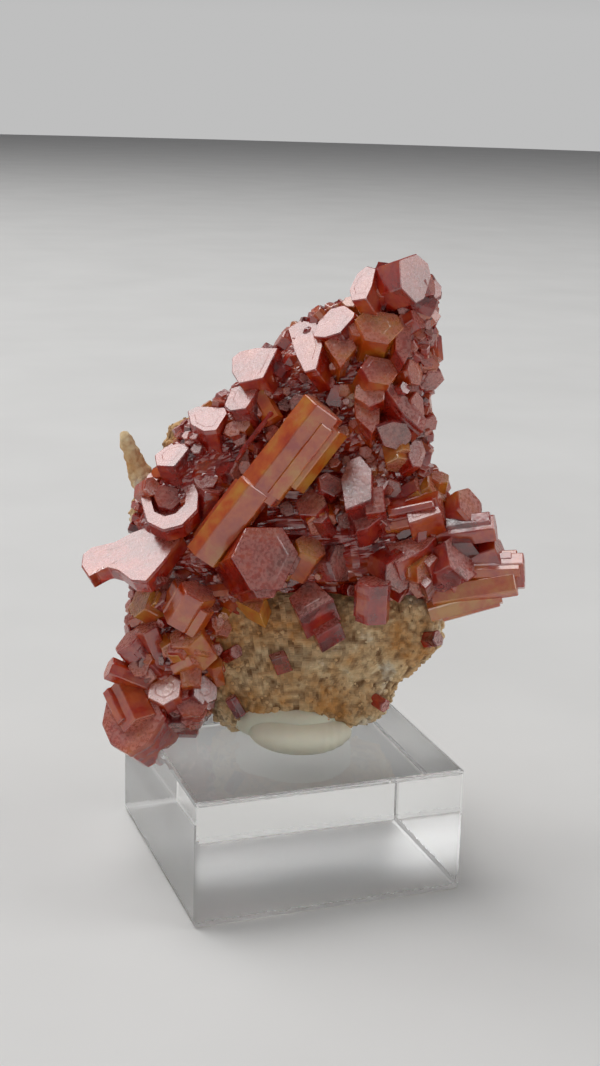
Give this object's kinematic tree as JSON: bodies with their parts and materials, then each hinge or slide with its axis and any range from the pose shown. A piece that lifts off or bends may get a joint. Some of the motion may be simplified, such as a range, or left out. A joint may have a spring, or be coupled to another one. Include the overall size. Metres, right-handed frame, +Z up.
{
  "type": "vanadinite mineral specimen on an acrylic block",
  "caption": "Sail-shaped plate of red to orange hexagonal vanadinite crystals on cream matrix rock, pressed into white mineral tack on a small clear acrylic display block.",
  "frame": {"origin": "the middle of the acrylic block's underside, on the surface it stands on", "axes": "+Z up, +X along the block's front edge to the right, -Y out of the block's front; the specimen's front is turned 20 degrees from the block's front, towards -X"},
  "size_m": [0.0378, 0.025, 0.0562],
  "materials": {
    "acrylic": "polished clear acrylic with fine cut edges",
    "tack": "matt ivory-white putty, pressed by hand",
    "matrix_rock": "granular cream, ochre and white host rock",
    "vanadinite": "adamantine, translucent red to orange crystal",
    "vanadinite_single": "adamantine brown-red crystal with pale end faces"
  },
  "bodies": {
    "root": {"acrylic_block": "acrylic", "mineral_tack": "tack", "matrix": "matrix_rock", "crystal_crust": "vanadinite", "crystal_yellow_top": "vanadinite_single", "crystal_pair": "vanadinite_single", "crystal_white_top": "vanadinite_single", "crystal_left_small": "vanadinite_single", "crystal_sunk": "vanadinite_single", "crystal_right_edge": "vanadinite_single", "crystal_lower_right": "vanadinite_single"}
  },
  "joints": []
}
